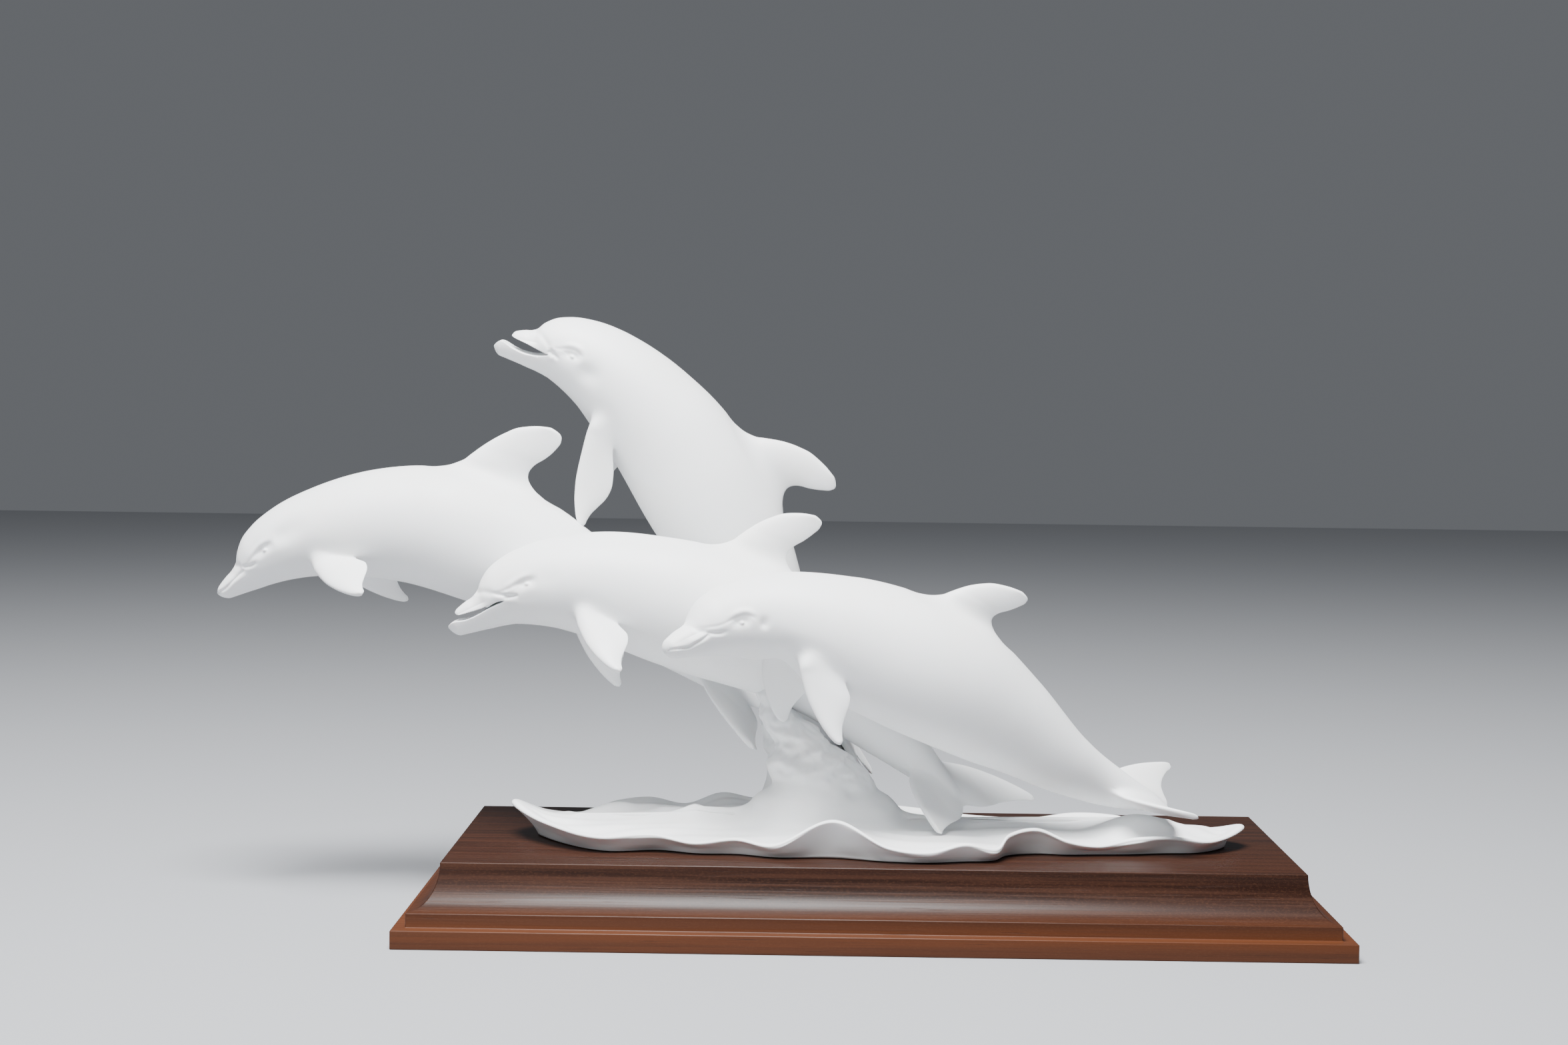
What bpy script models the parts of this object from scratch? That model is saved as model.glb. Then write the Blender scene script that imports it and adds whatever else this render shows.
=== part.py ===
"""Four leaping dolphins in white biscuit porcelain over a wave, on a stained wooden plinth.

Metres, +Z up. The origin is the middle of the plinth's underside, +X runs to the right along its
length and the front faces -Y. The dolphins leap to the left.
The porcelain is drawn in millimetres for a group 541 mm long, from the seat on the plinth's top,
and MM turns a drawn millimetre into metres.
"""
import math

import bmesh
import bpy
import numpy as np
from mathutils import Vector

# Plinth: a base plate, a square step and a cove that carries the flat top
PLINTH_LENGTH = 0.460
PLINTH_DEPTH = 0.216
PLATE_HEIGHT = 0.0092
PLATE_EDGE = 0.0065
STEP_HEIGHT = 0.0071
COVE_HEIGHT = 0.0222
COVE_REACH = 0.0145
COVE_STEPS = 7
PLINTH_HEIGHT = PLATE_HEIGHT + STEP_HEIGHT + COVE_HEIGHT

# Porcelain group
GROUP_LENGTH = 0.541
SEAT_GAP = 0.0003
MM = GROUP_LENGTH / 541
SEAT = PLINTH_HEIGHT + SEAT_GAP

RING_SIDES = 14
RIM_SIDES = 60
CREST_SIDES = 20

# Body rings of one dolphin: share of the length, then height above and below the spine and half
# width in drawn millimetres
BODY = [
    (0.000, 2.4, 3.2, 3.0),
    (0.008, 4.2, 5.4, 5.6),
    (0.030, 6.0, 9.0, 8.4),
    (0.055, 7.2, 11.8, 10.2),
    (0.066, 10.6, 12.8, 12.6),
    (0.082, 14.8, 14.0, 15.4),
    (0.108, 18.8, 16.2, 18.4),
    (0.145, 21.6, 19.2, 21.6),
    (0.210, 24.6, 24.8, 25.2),
    (0.300, 29.0, 30.0, 28.2),
    (0.390, 32.6, 33.4, 30.2),
    (0.480, 34.2, 34.8, 30.4),
    (0.560, 32.0, 33.4, 28.2),
    (0.650, 26.5, 28.2, 22.4),
    (0.740, 20.0, 21.0, 16.2),
    (0.830, 14.2, 14.8, 11.2),
    (0.910, 10.0, 10.0, 8.4),
    (0.960, 6.8, 6.8, 7.6),
    (0.990, 3.0, 3.0, 5.0),
]

# Shares of the length over which the head's girth passes into the trunk's
NECK = (0.14, 0.34)

# The mouth: its corner as a share of the length, the shares of the gape that the lower jaw drops
# and that the cut's middle sinks at the beak's tip, the cut's height at the corner, and how far it
# runs past the tip and the cheeks
JAW = 0.098
JAW_DROP = 0.80
CUT_DROP = 0.45
CORNER_HEIGHT = 0.5
CUT_PAST_TIP = 12
CUT_HALF_WIDTH = 30

# Dorsal fin: height, then front and back edge, in shares of its root's length
DORSAL = [
    (-0.22, -0.06, 1.00),
    (0.00, -0.04, 0.97),
    (0.05, 0.01, 0.85),
    (0.10, 0.07, 0.79),
    (0.19, 0.12, 0.75),
    (0.28, 0.19, 0.78),
    (0.40, 0.30, 0.88),
    (0.50, 0.41, 0.95),
    (0.60, 0.58, 1.00),
    (0.66, 0.75, 0.98),
    (0.685, 0.84, 0.93),
]

# Pectoral fin: place along the fin, then front and back edge, in shares of its length
PECTORAL = [
    (-0.22, -0.20, 0.20),
    (0.00, -0.21, 0.14),
    (0.15, -0.21, 0.17),
    (0.30, -0.21, 0.235),
    (0.45, -0.19, 0.245),
    (0.58, -0.178, 0.21),
    (0.69, -0.163, 0.136),
    (0.80, -0.143, 0.062),
    (0.90, -0.11, 0.027),
    (0.97, -0.07, 0.000),
    (1.00, -0.045, -0.015),
]

# Flukes: place from one tip through the middle to the other, then front and back edge, in shares
# of the half span
HALF_FLUKE = [
    (0.10, -0.50, 0.50),
    (0.22, -0.42, 0.60),
    (0.38, -0.28, 0.67),
    (0.55, -0.11, 0.71),
    (0.72, 0.13, 0.76),
    (0.87, 0.42, 0.82),
    (0.96, 0.66, 0.87),
    (1.00, 0.80, 0.86),
]
FLUKES = [(-t, a, b) for t, a, b in reversed(HALF_FLUKE)] + [(0.0, -0.55, 0.42)] + HALF_FLUKE

# How deep a pectoral fin is rooted in the flank, and where the flukes sit on the tail
FIN_ROOT = 0.93
FLUKE_PLACE = 0.965
FLUKE_SWEEP = 0.8

# A fin's section: place across the fin and share of the half thickness
FIN_SECTION = [(0.0, 0.0), (0.08, 0.62), (0.34, 1.0), (0.70, 0.62), (1.0, 0.0),
               (0.70, -0.62), (0.34, -1.0), (0.08, -0.62)]

# Half thickness in drawn millimetres against the place out from a fin's root
DORSAL_THICKNESS = ([-0.22, 0.0, 0.3, 0.685], [9.5, 6.5, 3.4, 1.5])
PECTORAL_THICKNESS = ([-0.22, 0.0, 0.3, 1.0], [6.0, 4.4, 3.2, 1.2])
FLUKE_THICKNESS = ([-1.0, -0.4, -0.12, 0.0, 0.12, 0.4, 1.0], [1.1, 2.8, 4.6, 6.0, 4.6, 2.8, 1.1])

# Each dolphin: its spine from beak to tail as x, y, z and roll in degrees, the girth of head and
# trunk against BODY, the dorsal fin's root and how much of its height it has, the fluke's half
# span, sweep and cup, how far the mouth opens, and the pectoral fins as side, share of the length,
# degrees below the flank, direction aft, outward and down, length and width
DOLPHINS = {
    "left": dict(
        spine=[(-344, 40, 119, 0), (-298, 41, 148, 0), (-242, 42, 156, 0), (-183, 41, 140, 0),
               (-132, 39, 113, -4), (-67, 36, 66, -20)],
        head=0.97, trunk=0.96, dorsal=(0.405, 0.555, 1.0), fluke=(40, 0.92, 0.0), gape=0,
        pectorals=[(1, 0.22, 35, 0.30, 0.74, 0.58, 38, 1.3),
                   (-1, 0.235, 50, 0.55, 0.30, 0.78, 39, 1.0)]),
    "top": dict(
        spine=[(-198.5, 56, 252, 0), (-145, 57, 238.5, 0), (-113, 57, 209, 0), (-79, 56, 158, 0),
               (-34, 49, 79.5, 0), (-12, 42, 45, 0)],
        head=1.0, trunk=0.985, dorsal=(0.43, 0.59, 1.0), fluke=(36, 1.0, 0.0), gape=3.0,
        pectorals=[(1, 0.258, 35, 0.50, -0.04, 0.85, 61, 0.80),
                   (-1, 0.27, 35, 0.45, 0.55, 0.70, 40, 1.0)]),
    "middle": dict(
        spine=[(-215, -4, 109.5, 0), (-157, -4, 129, 0), (-100, -4, 120, 0), (-50, -4, 104, 0),
               (8, -2, 55, -12), (30, -6, 35.5, -32), (44, -17, 23, -50)],
        head=1.0, trunk=0.98, dorsal=(0.443, 0.566, 1.13), fluke=(36, 1.0, 0.08), gape=4.5,
        pectorals=[(1, 0.268, 25, 0.45, 0.60, 0.62, 39, 1.25),
                   (-1, 0.245, 52, 0.36, 0.25, 0.88, 41, 1.1)]),
    "right": dict(
        spine=[(-102, -74, 103, 0), (-57, -52, 116, 0), (-16, -46, 107.5, 0), (34, -44.5, 87.5, 0),
               (67, -40, 66.5, 0), (96.5, -34, 45, -4), (114, -28, 35, -8), (130, -24, 28, -14),
               (146, -20, 22.5, -22)],
        head=0.94, trunk=0.98, dorsal=(0.452, 0.58, 0.92), fluke=(36, 0.55, 0.30), gape=0,
        pectorals=[(1, 0.295, 13, 0.50, 0.20, 0.85, 46, 1.1),
                   (-1, 0.25, 35, 0.17, 0.15, 0.97, 38, 1.2)]),
}

# The wave's rim, from the left tip along the front to the right tip and back: x, y, height, and how
# far it overhangs the foot
RIM = [
    (-186, 2, 14, 14), (-164, -38, 12.5, 12), (-134, -58, 8.6, 8), (-108, -54, 9.4, 8),
    (-88, -60, 6.8, 6), (-67, -61, 9.0, 6), (-50, -68, 7.2, 6), (-19, -70, 20, 8),
    (8, -76, 8.2, 6), (28, -77, 6.6, 6), (45, -73, 10, 6), (61, -68, 7, 6), (68, -56, 12, 8),
    (82, -50, 14, 8), (97, -50, 8.4, 7), (112, -47, 5.8, 6), (131, -45, 9, 6), (150, -41, 9.4, 7),
    (168, -37, 7.2, 7), (190, -8, 9, 10), (178, 8, 6.6, 8), (150, 14, 6.6, 6), (127, 24, 10, 6),
    (107, 26, 10.5, 6), (85, 26, 7.6, 6), (60, 34, 6.8, 6), (20, 48, 9, 6), (-30, 54, 12, 6),
    (-62, 56, 11.5, 6), (-78, 56, 14, 7), (-97, 54, 8.2, 6), (-117, 52, 11.6, 7),
    (-134, 50, 9.8, 7), (-150, 40, 5.4, 6), (-168, 26, 8, 9),
]
RIM_WALL = 3.2

# The wave's outer wall from the foot to the rim: share of the overhang and of the rim's height
WALL = [(1.0, 0.0), (0.75, 0.35), (0.28, 0.72)]
FOOT_WIDTH = 9

# The dish inside: its middle line is a share of the rim's length about a line at its own y, the
# floor falls from the rim and rises again to the middle line
MIDDLE_LENGTH = 0.80
MIDDLE_Y = -8
MIDDLE_WIDTH = 0.12
FLOOR_DROP = 3.5
FLOOR_MIDDLE = 11.5

# The crest that carries the group: height, middle x and y, half length and half depth
CREST = [
    (3, -28, -6, 58, 34), (10, -26, -6, 46, 28), (17, -23, -7, 33, 24), (24, -22, -8, 27, 21),
    (33, -25, -10, 24, 19), (41, -28, -12, 21, 17), (48, -31, -14, 18, 15), (54, -34, -14, 16, 14),
    (62, -38, -13, 15, 13), (74, -41, -10, 13, 13),
]

# The plainer ridge behind it that carries the two far tails, in the same measures
BACK_RIDGE = [
    (3, -28, 22, 46, 24), (12, -27, 25, 33, 20), (26, -27, 27, 27, 17), (42, -33, 28, 21, 15),
    (56, -39, 28, 18, 14), (70, -45, 28, 13, 12),
]
LUMP = 1.1


def spline(points, places):
    """A smooth curve through the points, read at shares of its length, with its direction."""
    points = np.array(points, float)
    steps = np.linalg.norm(np.diff(points[:, :3], axis=0), axis=1)
    knots = np.concatenate([[0.0], np.cumsum(steps)]) / steps.sum()
    slopes = np.gradient(points, knots, axis=0, edge_order=2)
    places = np.clip(np.atleast_1d(places), 0.0, 1.0)
    i = np.clip(np.searchsorted(knots, places, side="right") - 1, 0, len(knots) - 2)
    h = (knots[i + 1] - knots[i])[:, None]
    u = (places - knots[i])[:, None] / h
    p, q, m, n = points[i], points[i + 1], slopes[i] * h, slopes[i + 1] * h
    where = (2*u**3 - 3*u**2 + 1)*p + (u**3 - 2*u**2 + u)*m + (3*u**2 - 2*u**3)*q + (u**3 - u**2)*n
    along = ((6*u**2 - 6*u)*p + (3*u**2 - 4*u + 1)*m + (6*u - 6*u**2)*q + (3*u**2 - 2*u)*n) / h
    return where, along


def closed_spline(points, count):
    """The same smooth curve round a closed loop of points, as count points."""
    loop = points[-3:] + points + points[:4]
    steps = np.linalg.norm(np.diff(np.array(loop, float)[:, :2], axis=0), axis=1)
    lengths = np.concatenate([[0.0], np.cumsum(steps)])
    first, last = lengths[3], lengths[3 + len(points)]
    flat = [(p[0], p[1], 0.0, p[2], p[3]) for p in loop]
    places = (first + (last - first) * np.arange(count) / count) / lengths[-1]
    return spline(flat, places)[0]


def unit(vector):
    return vector / np.linalg.norm(vector)


def skin(name, rings):
    """A closed solid over rings of equal size, in metres, capped flat at both ends."""
    mesh = bmesh.new()
    rows = [[mesh.verts.new(p) for p in ring] for ring in rings]
    sides = len(rows[0])
    for low, high in zip(rows, rows[1:]):
        for k in range(sides):
            mesh.faces.new((low[k], low[(k + 1) % sides], high[(k + 1) % sides], high[k]))
    mesh.faces.new(rows[0])
    mesh.faces.new(rows[-1])
    bmesh.ops.recalc_face_normals(mesh, faces=mesh.faces)
    data = bpy.data.meshes.new(name)
    mesh.to_mesh(data)
    mesh.free()
    return bpy.data.objects.new(name, data)


def porcelain_skin(name, rings):
    """The same over rings in drawn millimetres from the seat."""
    seat = Vector((0, 0, SEAT))
    return skin(name, [[Vector(p) * MM + seat for p in ring] for ring in rings])


class Dolphin:
    """One dolphin's frame along its spine, and its solids."""

    def __init__(self, name, spine, head, trunk, dorsal, fluke, gape, pectorals):
        self.name = name
        self.spine = spine
        self.head = head
        self.trunk = trunk
        self.dorsal = dorsal
        self.fluke = fluke
        self.gape = gape
        self.pectorals = pectorals

    def frame(self, share):
        """The body's middle, its directions aft, left and up, then its height above and below the
        middle and its half width."""
        where, along = spline(self.spine, share)
        centre, roll = where[0, :3], math.radians(where[0, 3])
        aft = unit(along[0, :3])
        level = np.array([0.0, -1.0, 0.0])
        level = unit(level - level.dot(aft) * aft)
        up = np.cross(level, aft)
        left = math.cos(roll) * level + math.sin(roll) * up
        up = math.cos(roll) * up - math.sin(roll) * level
        girth = np.interp(share, NECK, (self.head, self.trunk))
        table = np.array(BODY).T
        high, low, half = [girth * np.interp(share, table[0], column) for column in table[1:]]
        low += self.gape * JAW_DROP * max(0.0, 1 - share / JAW)
        return centre, aft, left, up, (high, low, half)

    def body(self):
        rings = []
        for row in BODY:
            centre, _, left, up, (high, low, half) = self.frame(row[0])
            ring = []
            for k in range(RING_SIDES):
                angle = 2 * math.pi * k / RING_SIDES
                rise = (high if math.cos(angle) > 0 else low) * math.cos(angle)
                ring.append(centre + left * half * math.sin(angle) + up * rise)
            rings.append(ring)
        return porcelain_skin(self.name + "_body", rings)

    def fin(self, name, rows, place, across, normal, thickness):
        """A fin over its rows: place gives a row's origin, across the direction of its chord and
        normal the direction of its thickness."""
        rings = []
        for t, front, back in rows:
            half = np.interp(t, *thickness)
            ring = []
            for share, lift in FIN_SECTION:
                ring.append(place(t) + across * (front + (back - front) * share) + normal * half * lift)
            rings.append(ring)
        return porcelain_skin(self.name + "_" + name, rings)

    def dorsal_fin(self):
        front, back, height = self.dorsal
        start, _, start_left, start_up, start_size = self.frame(front)
        end, _, end_left, end_up, end_size = self.frame(back)
        start = start + start_up * start_size[0]
        end = end + end_up * end_size[0]
        chord = end - start
        left = unit(start_left + end_left)
        rise = np.cross(unit(left - left.dot(unit(chord)) * unit(chord)), chord) * height
        return self.fin("dorsal", DORSAL, lambda t: start + rise * t, chord, left, DORSAL_THICKNESS)

    def pectoral_fin(self, side, share, hang, aftward, outward, down, length, width):
        centre, aft, left, up, (_, low, half) = self.frame(share)
        left = left * side
        hang = math.radians(hang)
        flank = left * half * math.cos(hang) - up * low * math.sin(hang)
        root = centre + flank * FIN_ROOT
        along = unit(aft * aftward + left * outward - up * down)
        across = unit(aft - aft.dot(along) * along)
        name = "left_fin" if side > 0 else "right_fin"
        return self.fin(name, PECTORAL, lambda t: root + along * length * t, across * length * width,
                        np.cross(along, across), PECTORAL_THICKNESS)

    def flukes(self):
        centre, aft, left, up, _ = self.frame(FLUKE_PLACE)
        span, sweep, cup = self.fluke
        forward = FLUKE_SWEEP * (1 - sweep)
        rows = [(t, front - forward * abs(t), back - forward * abs(t)) for t, front, back in FLUKES]
        return self.fin("flukes", rows, lambda t: centre + (left * t + up * cup * t * t) * span,
                        aft * span, up, FLUKE_THICKNESS)

    def mouth(self):
        """The wedge that opens the mouth, narrowing to its corner."""
        corner, _, left, up, _ = self.frame(JAW)
        tip = self.frame(0.0)[0] - up * self.gape * CUT_DROP
        out = unit(tip - corner)
        left = unit(left - left.dot(out) * out)
        rise = np.cross(out, left)
        rise = rise if rise.dot(up) > 0 else -rise
        end = tip + out * CUT_PAST_TIP
        rings = []
        for side in (-CUT_HALF_WIDTH, CUT_HALF_WIDTH):
            near, far = corner + left * side, end + left * side
            rings.append([near + rise * CORNER_HEIGHT / 2, far + rise * self.gape / 2,
                          far - rise * self.gape / 2, near - rise * CORNER_HEIGHT / 2])
        return porcelain_skin(self.name + "_mouth", rings)


def wave_base():
    """The wave's leaf-shaped dish: its wall leans out to a rippled rim, its floor rises inside."""
    rim = closed_spline(RIM, RIM_SIDES)
    middle = rim[:, :2] * (MIDDLE_LENGTH, MIDDLE_WIDTH) + (0, MIDDLE_Y * (1 - MIDDLE_WIDTH))
    inward = middle - rim[:, :2]
    reach = np.linalg.norm(inward, axis=1)
    inward /= reach[:, None]
    height, overhang = rim[:, 3], rim[:, 4]
    low_floor = 4 + 0.25 * height

    def ring(offset, rise):
        flat = rim[:, :2] + inward * (offset + 0 * reach)[:, None]
        return np.column_stack([flat, rise + 0 * reach])

    rings = [ring(overhang + FOOT_WIDTH, 0)]
    rings += [ring(overhang * lean, height * share) for lean, share in WALL]
    rings += [
        ring(0, height - RIM_WALL / 4),
        ring(RIM_WALL / 2, height),
        ring(RIM_WALL, height - RIM_WALL / 4),
        ring(RIM_WALL * 2.5, np.maximum(height - FLOOR_DROP, low_floor)),
        ring(reach * 0.55, low_floor + 2.5),
        ring(reach * 0.99, FLOOR_MIDDLE),
    ]
    return porcelain_skin("wave_base", rings)


def crest(name, levels):
    """A lumpy column over oval levels."""
    rings = []
    for level, x, y, half_length, half_depth in levels:
        ring = []
        for k in range(CREST_SIDES):
            angle = 2 * math.pi * k / CREST_SIDES
            swell = LUMP * (math.sin(4 * angle + level * 0.35) + math.sin(7 * angle - level * 0.2))
            ring.append((x + (half_length + swell) * math.cos(angle),
                         y + (half_depth + swell) * math.sin(angle), level))
        rings.append(ring)
    return porcelain_skin(name, rings)


def material(name, colour, roughness):
    made = bpy.data.materials.new(name)
    made.use_nodes = True
    shader = made.node_tree.nodes["Principled BSDF"]
    shader.inputs["Base Color"].default_value = (*colour, 1)
    shader.inputs["Roughness"].default_value = roughness
    return made


def boolean(target, other, operation):
    """Applies an exact Boolean with the other object, which is then removed."""
    modifier = target.modifiers.new(operation.lower(), "BOOLEAN")
    modifier.operation = operation
    modifier.solver = "EXACT"
    modifier.object = other
    bpy.context.view_layer.update()
    depsgraph = bpy.context.evaluated_depsgraph_get()
    result = bpy.data.meshes.new_from_object(target.evaluated_get(depsgraph))
    target.modifiers.clear()
    old = target.data
    target.data = result
    bpy.data.meshes.remove(old)
    bpy.data.objects.remove(other)


def joined(collection, target, other, operation="UNION"):
    collection.objects.link(other)
    boolean(target, other, operation)


def porcelain(collection):
    """All dolphins, the wave and its crest, joined as one casting."""
    group = wave_base()
    group.name = "dolphin_group"
    collection.objects.link(group)
    joined(collection, group, crest("wave_crest", CREST))
    joined(collection, group, crest("back_ridge", BACK_RIDGE))
    for name, values in DOLPHINS.items():
        dolphin = Dolphin(name, **values)
        body = dolphin.body()
        collection.objects.link(body)
        if dolphin.gape:
            joined(collection, body, dolphin.mouth(), "DIFFERENCE")
        for fin in [dolphin.dorsal_fin(), dolphin.flukes()] + [dolphin.pectoral_fin(*values)
                                                              for values in dolphin.pectorals]:
            joined(collection, body, fin)
        boolean(group, body, "UNION")
    group.data.materials.clear()
    group.data.materials.append(material("bisque_porcelain", (0.86, 0.87, 0.88), 0.55))
    group.data.shade_smooth()
    group.data.set_sharp_from_angle(angle=math.radians(40))


def plinth(collection):
    """The wooden plinth, skinned over rectangles from its foot to its top."""
    step_top = PLATE_HEIGHT + STEP_HEIGHT
    levels = [(0.0, 0.0), (0.0, PLATE_HEIGHT), (PLATE_EDGE, PLATE_HEIGHT), (PLATE_EDGE, step_top)]
    for k in range(1, COVE_STEPS + 1):
        angle = math.pi / 2 * k / COVE_STEPS
        levels.append((PLATE_EDGE + COVE_REACH * math.sin(angle),
                       step_top + COVE_HEIGHT * (1 - math.cos(angle))))
    rings = []
    for inset, level in levels:
        x, y = PLINTH_LENGTH / 2 - inset, PLINTH_DEPTH / 2 - inset
        rings.append([(-x, -y, level), (x, -y, level), (x, y, level), (-x, y, level)])
    made = skin("plinth", rings)
    made.data.materials.append(material("stained_wood", (0.17, 0.06, 0.025), 0.38))
    collection.objects.link(made)


for old_object in list(bpy.data.objects):
    bpy.data.objects.remove(old_object)
parts = bpy.data.collections.new("dolphin_sculpture")
bpy.context.scene.collection.children.link(parts)
plinth(parts)
porcelain(parts)
for built in parts.objects:
    triangles = sum(len(face.vertices) - 2 for face in built.data.polygons)
    print(built.name, [round(v * 1000, 1) for v in built.dimensions], "mm,", triangles, "triangles")
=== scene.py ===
# %% [markdown]
# The dolphin group in porcelain and stained wood
#
# This file dresses a plain CAD model: four dolphins in unglazed white porcelain, leaping over a
# wave, on a moulded wooden plinth. The CAD solids carry the true sizes and the pose. Here each
# piece is modelled again with smooth skin, faces, lips and soft joins, and gets its finish.
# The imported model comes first, because every new piece is placed against it.

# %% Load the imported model
import math

import bpy
import numpy as np
from mathutils import Matrix, Vector, noise
from mathutils.kdtree import KDTree


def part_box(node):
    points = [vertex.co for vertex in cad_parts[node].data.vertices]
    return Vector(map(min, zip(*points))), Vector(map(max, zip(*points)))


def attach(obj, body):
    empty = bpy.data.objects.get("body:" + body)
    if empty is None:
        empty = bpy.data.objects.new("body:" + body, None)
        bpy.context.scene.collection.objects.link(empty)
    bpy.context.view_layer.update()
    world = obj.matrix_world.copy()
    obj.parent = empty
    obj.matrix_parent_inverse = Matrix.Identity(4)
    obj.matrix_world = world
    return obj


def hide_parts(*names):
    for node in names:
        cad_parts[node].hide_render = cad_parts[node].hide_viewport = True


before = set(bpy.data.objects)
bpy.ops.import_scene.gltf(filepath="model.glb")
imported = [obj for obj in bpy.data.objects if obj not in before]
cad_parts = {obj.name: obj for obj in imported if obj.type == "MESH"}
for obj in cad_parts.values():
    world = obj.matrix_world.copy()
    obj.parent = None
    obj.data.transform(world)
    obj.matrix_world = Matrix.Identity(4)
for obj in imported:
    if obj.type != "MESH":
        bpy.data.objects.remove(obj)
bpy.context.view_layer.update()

# %% [markdown]
# The porcelain is drawn in millimetres from its seat on the plinth, as a sculptor would measure a
# maquette. Two numbers turn a drawn point into the model's metres: the seat's height, read from the
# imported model, and one thousandth.

# %% Drawn millimetres
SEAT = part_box("dolphin_group")[0].z
MM = 0.001


def to_model(points):
    return np.asarray(points) * MM + np.array([0.0, 0.0, SEAT])


print("seat", round(SEAT, 4))

# %% [markdown]
# Most edges of a sculpture are curves through a few chosen points. A Hermite curve takes its slope
# at each point from the neighbours, so it runs through all of them without kinks. The same curve
# serves for spines, outlines and profiles.

# %% Smooth curves through points


def through(knots, values, places):
    """A smooth curve through values at the knots, read at places."""
    knots, values = np.array(knots, float), np.array(values, float)
    slopes = np.gradient(values, knots, axis=0, edge_order=2)
    places = np.clip(places, knots[0], knots[-1])
    i = np.clip(np.searchsorted(knots, places, side="right") - 1, 0, len(knots) - 2)
    h = knots[i + 1] - knots[i]
    u = (places - knots[i]) / h
    if values.ndim > 1:
        h, u = h[:, None], u[:, None]
    p, q, m, n = values[i], values[i + 1], slopes[i] * h, slopes[i + 1] * h
    return (2*u**3 - 3*u**2 + 1)*p + (u**3 - 2*u**2 + u)*m + (3*u**2 - 2*u**3)*q + (u**3 - u**2)*n


def smoothstep(low, high, value):
    u = np.clip((value - low) / (high - low), 0.0, 1.0)
    return u * u * (3 - 2 * u)


def unit_rows(vectors):
    return vectors / np.linalg.norm(vectors, axis=-1, keepdims=True)


print("middle of a test curve", through([0, 1, 2], [0, 1, 4], np.array([1.5])))

# %% [markdown]
# A UV sphere is a handy start for any closed rounded form. Its rings run from pole to pole, so one
# number says how far along a vertex is and an angle says where it is around. A body, a fin and the
# wave's dish all start as such a sphere, and moving its vertices gives the form. Vertices are read
# and written in one go with foreach_get and foreach_set, which is fast.

# %% Spheres as clay


def coordinates(piece):
    flat = np.empty(len(piece.data.vertices) * 3)
    piece.data.vertices.foreach_get("co", flat)
    return flat.reshape(-1, 3)


def place_vertices(piece, points):
    piece.data.vertices.foreach_set("co", np.ascontiguousarray(points, float).ravel())
    piece.data.update()


def only(piece):
    """Selects one object alone, which is what an operator then works on."""
    bpy.ops.object.select_all(action="DESELECT")
    piece.select_set(True)
    bpy.context.view_layer.objects.active = piece


def clay(name, around, along):
    """A UV sphere with each vertex's place from pole to pole, 0 to 1, and its angle."""
    bpy.ops.object.select_all(action="DESELECT")
    bpy.ops.mesh.primitive_uv_sphere_add(segments=around, ring_count=along, radius=1.0)
    piece = bpy.context.object
    piece.name = piece.data.name = name
    points = coordinates(piece)
    place = np.round(np.arccos(np.clip(points[:, 2], -1, 1)) / math.pi * along) / along
    angle = np.round(np.arctan2(points[:, 1], points[:, 0]) / (2 * math.pi) * around)
    return piece, place, angle * 2 * math.pi / around


def outwards(piece):
    """Turns a closed mesh the right side out: its volume must not be negative."""
    piece.data.calc_loop_triangles()
    corners = np.empty(len(piece.data.loop_triangles) * 3, int)
    piece.data.loop_triangles.foreach_get("vertices", corners)
    a, b, c = np.moveaxis(coordinates(piece)[corners.reshape(-1, 3)], 1, 0)
    if (a * np.cross(b, c)).sum() < 0:
        only(piece)
        bpy.ops.object.mode_set(mode="EDIT")
        bpy.ops.mesh.select_all(action="SELECT")
        bpy.ops.mesh.flip_normals()
        bpy.ops.object.mode_set(mode="OBJECT")
    return piece


def shaped(piece, drawn):
    """Moves the clay to its drawn place."""
    place_vertices(piece, to_model(drawn))
    return outwards(piece)


print("clay ready")

# %% [markdown]
# Porcelain is cast wet and its parts are joined with slip, so no seam on it is sharp. Pieces are
# joined here with exact Booleans, and the vertices near each new seam are then relaxed: each moves a
# little towards the middle of its neighbours, many times, and less the further it is from the seam.
# New vertices that a Boolean makes tell where the seam is.

# %% Joining with slip


def keys(points):
    """One whole number per point, to find the same points again."""
    cells = np.round(points * 1e7).astype(np.int64)
    return (cells[:, 0] * 73856093) ^ (cells[:, 1] * 19349663) ^ (cells[:, 2] * 83492791)


def relax(piece, centres, reach, rounds, strength=0.5):
    """Smooths the vertices within reach of the centres."""
    points = coordinates(piece)
    tree = KDTree(len(centres))
    for index, centre in enumerate(centres):
        tree.insert(centre, index)
    tree.balance()
    distance = np.array([tree.find(point)[2] for point in points])
    weight = strength * (1 - smoothstep(0.35 * reach, reach, distance))
    edges = np.empty(len(piece.data.edges) * 2, int)
    piece.data.edges.foreach_get("vertices", edges)
    a, b = edges.reshape(-1, 2).T
    near = (weight[a] > 0) | (weight[b] > 0)
    a, b = a[near], b[near]
    count = len(points)
    degree = np.maximum(np.bincount(a, minlength=count) + np.bincount(b, minlength=count), 1)
    for _ in range(rounds):
        total = np.column_stack([
            np.bincount(a, points[b, k], count) + np.bincount(b, points[a, k], count)
            for k in range(3)])
        points += weight[:, None] * (total / degree[:, None] - points)
    place_vertices(piece, points)


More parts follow.
